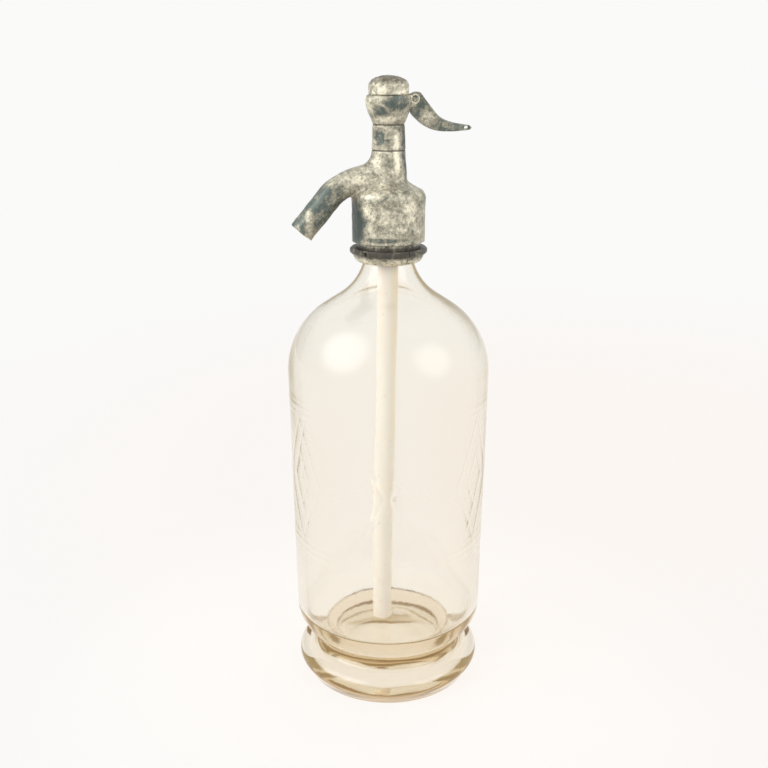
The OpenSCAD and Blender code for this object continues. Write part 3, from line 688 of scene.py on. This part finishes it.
def soften(points, edges, passes, weight=1.0):
    """Points drawn half of the way to their neighbours' mean on each pass, times their weight."""
    for _ in range(passes):
        points = points + 0.5 * np.reshape(weight, (-1, 1)) * (neighbour_mean(points, edges) - points)
    return points


def outward(points, faces):
    """Unit normals of the points, from the cross products of their faces' diagonals."""
    quads = np.array(faces)
    cross = np.cross(points[quads[:, 2]] - points[quads[:, 0]], points[quads[:, 3]] - points[quads[:, 1]])
    normal = np.zeros_like(points)
    for corner in range(4):
        np.add.at(normal, quads[:, corner], cross)
    return normal / np.maximum(np.linalg.norm(normal, axis=1), 1e-12)[:, None]


def dented(points, faces, dents, first_seed):
    """Points moved along their normals by waves of the given (length, depth) in mm."""
    normal = outward(points, faces)
    for seed, (length, depth) in enumerate(dents, first_seed):
        points = points + normal * (depth * waves(points, length, seed))[:, None]
    return points


def cast_piece(name, node, body, material, points, faces, edges, full_mm):
    """A cast piece whose points carry a crevice value.

    The value is 1 where a point lies full_mm or more below its neighbours' mean.
    """
    piece = solid(name, points, faces, material, body, node)
    depth = ((neighbour_mean(points, edges) - points) * outward(points, faces)).sum(1)
    for _ in range(CREVICE_SPREAD):
        depth = 0.5 * depth + 0.5 * neighbour_mean(depth, edges)
    data = piece.data.attributes.new(CREVICE, "FLOAT", "POINT")
    data.data.foreach_set("value", np.clip(depth / full_mm, 0, 1).astype(np.float32))


# Sizes of the CAD head, in millimetres
SEAT_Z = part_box("neck_gasket")[1].z / MM
SKIRT_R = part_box("head_casting")[1].y / MM
SKIRT_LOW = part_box("head_casting")[0].z / MM
SKIRT_RISE = 10
SKIRT_ROUND = 4.5
HEAD_SLOPE = 30       # degrees
COLUMN_R = 7.65
COLUMN_ROUND = 4.5
SPOUT_Z = SEAT_Z + 18.9
SPOUT_ROOT_L = 10.1
SPOUT_R = 5.9
SPOUT_BEND_R = 24
SPOUT_BEND = 50       # degrees
SPOUT_END_L = 20
WEB_TOP = 8           # reach of the soft blend between spout and column, above the spout
WEB_LOW = 2.5         # the same between spout and shoulder, below it
HEAD_CELL = 0.42      # width of the fine mesh's cells
GROOVE_DEPTH = 0.22


def head_profile():
    """The head's outside from the skirt's edge up the column: rounded edge, slope and fillet."""
    slope = math.radians(HEAD_SLOPE)
    edge = (SKIRT_R - SKIRT_ROUND, SEAT_Z + SKIRT_RISE)
    start = np.array(edge) + SKIRT_ROUND * np.array([math.sin(slope), math.cos(slope)])
    fillet_r = COLUMN_R + COLUMN_ROUND * (1 - math.sin(slope))
    fillet_z = start[1] + (start[0] - fillet_r) * math.tan(slope) + COLUMN_ROUND * math.cos(slope)
    return np.concatenate([
        [[SKIRT_R, SKIRT_LOW]],
        arc(edge, SKIRT_ROUND, 0, 90 - HEAD_SLOPE, 7),
        arc((COLUMN_R + COLUMN_ROUND, fillet_z), COLUMN_ROUND, 270 - HEAD_SLOPE, 180, 7),
        [[COLUMN_R, SEAT_Z + 60]],
    ])


def spout_line():
    """Middle line of the spout in x and z: level root, bend, straight end."""
    bend = arc((-SPOUT_ROOT_L, SPOUT_Z - SPOUT_BEND_R), SPOUT_BEND_R, 90, 90 + SPOUT_BEND, 14)
    dip = math.radians(SPOUT_BEND)
    end = bend[-1] + SPOUT_END_L * np.array([-math.cos(dip), -math.sin(dip)])
    return np.concatenate([[[0, SPOUT_Z]], bend, [end]])


def to_line(points, line):
    """Distance from each point to the nearest place on a line of straight pieces."""
    nearest = np.full(len(points), np.inf)
    for a, b in zip(line[:-1], line[1:]):
        share = np.clip(((points - a) @ (b - a)) / ((b - a) @ (b - a)), 0, 1)
        nearest = np.minimum(nearest, np.linalg.norm(points - a - share[:, None] * (b - a), axis=1))
    return nearest


def head_field(points, share):
    """Signed distance to the head's outside, where turned body and spout run together over a web's reach.

    share scales that reach: 0 leaves a sharp corner.
    """
    profile = head_profile()
    flat = np.stack([np.hypot(points[:, 0], points[:, 1]), points[:, 2]], 1)
    inside = flat[:, 0] < np.interp(flat[:, 1], profile[:, 1], profile[:, 0])
    body = to_line(flat, profile) * np.where(inside, -1, 1)
    line = spout_line()
    spout = to_line(points, np.stack([line[:, 0], np.zeros(len(line)), line[:, 1]], 1)) - SPOUT_R
    upper = step_up(points[:, 2], SPOUT_Z - 5, SPOUT_Z + 4)
    web = share * (WEB_LOW + (WEB_TOP - WEB_LOW) * upper) + 1e-6
    near = np.maximum(web - np.abs(body - spout), 0) / web
    return np.minimum(body, spout) - near ** 2 * web / 4


def add_web(points):
    """Outside points near the spout's root moved out to the field with the soft blend, by Newton steps."""
    middle = (-6, 0, SPOUT_Z - 1)
    level = np.hypot(points[:, 0] - middle[0], points[:, 1])
    chosen = np.flatnonzero((level < 17) & (np.abs(points[:, 2] - middle[2]) < 16))
    chosen = chosen[np.abs(head_field(points[chosen], 0)) < 0.35]   # on the outside, not in the bore
    moved = points[chosen]
    nudge = 0.05
    for _ in range(4):
        value = head_field(moved, 1)
        slope = np.stack([(head_field(moved + nudge * axis, 1) - value) / nudge for axis in np.eye(3)], 1)
        square = np.maximum((slope ** 2).sum(1), 0.25)
        moved = moved - (value / square)[:, None] * slope
    points = points.copy()
    points[chosen] = moved
    return points, chosen


def make_head():
    """The head: the solid's fine mesh with the web at the spout's root, shallow grooves and casting waves."""
    points, faces, edges = cast_copy("head_casting", HEAD_CELL)
    points = soften(points, edges, 1)
    points, webbed = add_web(points)
    weight = np.zeros(len(points))
    weight[webbed] = 1
    points = soften(points, edges, 3, weight)
    r = np.hypot(points[:, 0], points[:, 1])
    outside = (r > 6.8) & (r < 8.2)   # the column's skin
    for groove_z in GROOVES:
        cut = GROOVE_DEPTH * outside * np.exp(-((points[:, 2] - groove_z) / GROOVE_HALF_W) ** 2)
        points[:, :2] *= (1 - cut / np.maximum(r, 1))[:, None]
    points = dented(points, faces, ((11, 0.12), (3.5, 0.05)), DENT_SEED)
    cast_piece("head", "head_casting", "siphon", head_metal, points, faces, edges, 0.06)


CAP_CELL = 0.28


def make_cap():
    """The screwed cap: softened, with uneven dents."""
    points, faces, edges = cast_copy("top_cap", CAP_CELL)
    points = soften(points, edges, 3)
    points = dented(points, faces, ((5, 0.14), (1.9, 0.08)), DENT_SEED)
    cast_piece("cap", "top_cap", "siphon", cap_metal, points, faces, edges, 0.12 * CAP_CELL)


LEVER_CELL = 0.14
TONGUE_W = 4          # width of the lever's part between the lugs
BLADE_EXTRA = 1.4     # how much wider the blade is than the tongue, on each side
WIDENS = (13.4, 19)   # where along X it grows that much wider


def make_lever():
    """The thumb lever: it widens smoothly from its tongue, and its edges are soft, but not round the eye."""
    points, faces, edges = cast_copy("lever", LEVER_CELL)
    x = points[:, 0]
    half_wide = TONGUE_W / 2 + BLADE_EXTRA * step_up(x, *WIDENS)
    broad = x > 13
    points[broad, 1] = np.clip(points[broad, 1], -half_wide[broad], half_wide[broad])
    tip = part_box("lever")[1].x / MM
    blade = step_up(x, 11, 13) * (1 - step_up(x, tip - 8, tip - 4.5))
    points = soften(points, edges, 30, blade)
    points = soften(points, edges, 2, 0.5)
    points = dented(points, faces, ((7, 0.06),), LEVER_SEED)
    cast_piece("thumb_lever", "lever", "lever", lever_metal, points, faces, edges, 0.1)


make_head()
make_cap()
make_lever()


# ---- The return spring, which rides on the valve ----


def make_spring():
    """The coil, copied from its node, riding whole on the valve's body."""
    mesh = closed_copy("return_spring")
    mesh.materials.clear()
    mesh.materials.append(steel)
    spring = bpy.data.objects.new("valve_spring", mesh)
    scene.collection.objects.link(spring)
    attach(spring, "valve")
    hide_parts("return_spring")
    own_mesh(spring)


make_spring()


# ---- CAD nodes that keep their own shape ----

FINISHES = {
    "collar_front": ring_metal, "collar_back": ring_metal, "collar_liner": fibre, "neck_gasket": rubber,
    "tube_holder": brass, "tube_seal": rubber, "dip_tube": tube_plastic, "valve_seat": brass,
    "valve_washer": rubber, "washer_screw": brass, "valve_stem": brass, "packing_washer": brass,
    "stem_packing": fibre, "packing_gland": brass, "cap_gasket": fibre, "lever_pin": lever_metal,
}
for node_name, finish in FINISHES.items():
    node_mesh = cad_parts[node_name].data
    node_mesh.materials.clear()
    node_mesh.materials.append(finish)


# ---- Floor, background and light ----

BACKDROP = (0.955, 0.955, 0.95)   # renders as the photograph's near-white
WARM_WHITE = (0.965, 0.925, 0.893)
WARM_PLACE = (0.24, 0.26, 0)      # middle of a faint warm patch on the floor, in metres
FLOOR_REACH = 6                   # metres from the siphon to the floor's edges


def make_floor():
    """A wide floor: near the siphon it keeps a faint shadow, and further out it has the backdrop's white."""
    mesh = bpy.data.meshes.new("floor")
    corners = [(FLOOR_REACH * x, FLOOR_REACH * y, 0) for x, y in ((-1, -1), (1, -1), (1, 1), (-1, 1))]
    mesh.from_pydata(corners, [], [(0, 1, 2, 3)])
    floor = bpy.data.objects.new("floor", mesh)
    scene.collection.objects.link(floor)
    material, tree, shader = new_material("pale_floor")
    feed(tree, shader, {"Base Color": (0.83, 0.81, 0.79, 1), "Roughness": 0.9, "Specular IOR Level": 0.1})
    point = here(tree)
    away = add(tree, "VectorMath", {0: point}, operation="LENGTH").outputs["Value"]
    from_warm = add(tree, "VectorMath", {0: point, 1: WARM_PLACE}, operation="DISTANCE").outputs["Value"]
    glow_colour = blend(tree, fade(tree, from_warm, 0.75, 0.15), BACKDROP, WARM_WHITE)
    glow = add(tree, "Emission", {"Color": glow_colour, "Strength": 1.0}).outputs[0]
    path = add(tree, "LightPath")
    seen = calc(tree, "MAXIMUM", path.outputs["Is Camera Ray"], path.outputs["Is Glossy Ray"])
    seen = calc(tree, "MAXIMUM", seen, path.outputs["Is Transmission Ray"])
    share = calc(tree, "MULTIPLY", seen, fade(tree, away, 0.06, 0.22, 0.8, 1.0))
    mixed = add(tree, "MixShader", {0: share, 1: shader.outputs[0], 2: glow}).outputs[0]
    tree.links.new(mixed, tree.nodes["Material Output"].inputs["Surface"])
    mesh.materials.append(material)


# Soft windows that metal and glass mirror: bearing and rise, core and rim of the glow (degrees), strength
WINDOWS = ((-63, 36, 10, 34, 3.2), (57, 27, 6, 28, 2.2))


def make_world():
    """White where the camera or the glass sees it, and dimmer as light.

    Mirrored, it is a room whose wall behind the siphon is darker, with soft windows.
    """
    world = bpy.data.worlds.new("studio")
    scene.world = world
    world.use_nodes = True
    tree = world.node_tree
    path = add(tree, "LightPath")
    seen = calc(tree, "MAXIMUM", path.outputs["Is Camera Ray"], path.outputs["Is Transmission Ray"])
    lit = add(tree, "Background", {"Color": (1, 0.99, 0.97, 1), "Strength": 0.5}).outputs[0]
    white = add(tree, "Background", {"Color": (*BACKDROP, 1), "Strength": 1.0}).outputs[0]
    view = add(tree, "TexCoord").outputs["Generated"]
    toward = add(tree, "SeparateXYZ", {0: view})
    behind, low = fade(tree, toward.outputs["Y"], -0.2, 0.8), fade(tree, toward.outputs["Z"], 0.55, 0.2)
    far_wall = calc(tree, "MULTIPLY", behind, low)
    room = calc(tree, "SUBTRACT", 1.05, calc(tree, "MULTIPLY", far_wall, 0.5))
    for bearing, rise, core, rim, strength in WINDOWS:
        aim = facing(bearing, rise)
        close = add(tree, "VectorMath", {0: view, 1: aim}, operation="DOT_PRODUCT").outputs["Value"]
        glow = fade(tree, close, math.cos(math.radians(rim)), math.cos(math.radians(core)), 0, strength)
        room = calc(tree, "ADD", room, glow)
    mirrored = add(tree, "Background", {"Color": (0.98, 1, 1, 1), "Strength": room}).outputs[0]
    shown = add(tree, "MixShader", {0: path.outputs["Is Glossy Ray"], 1: lit, 2: mirrored}).outputs[0]
    shown = add(tree, "MixShader", {0: seen, 1: shown, 2: white}).outputs[0]
    tree.links.new(shown, tree.nodes["World Output"].inputs["Surface"])


def soft_box(name, bearing, rise, distance, width, power):
    """A square area light that faces the siphon's middle; neither mirrors nor the glass show it."""
    data = bpy.data.lights.new(name, "AREA")
    data.shape = "SQUARE"
    data.size = width
    data.energy = power
    light = bpy.data.objects.new(name, data)
    scene.collection.objects.link(light)
    middle = Vector((0, 0, 0.15))
    light.location = middle + distance * Vector(facing(bearing, rise))
    light.rotation_euler = (middle - light.location).to_track_quat("-Z", "Y").to_euler()
    light.visible_glossy = False
    light.visible_transmission = False


make_floor()
make_world()
soft_box("left_box", -65, 28, 1.0, 0.6, 9)
soft_box("right_box", 57, 22, 1.0, 0.5, 4)
soft_box("high_box", 150, 60, 1.2, 0.9, 8)
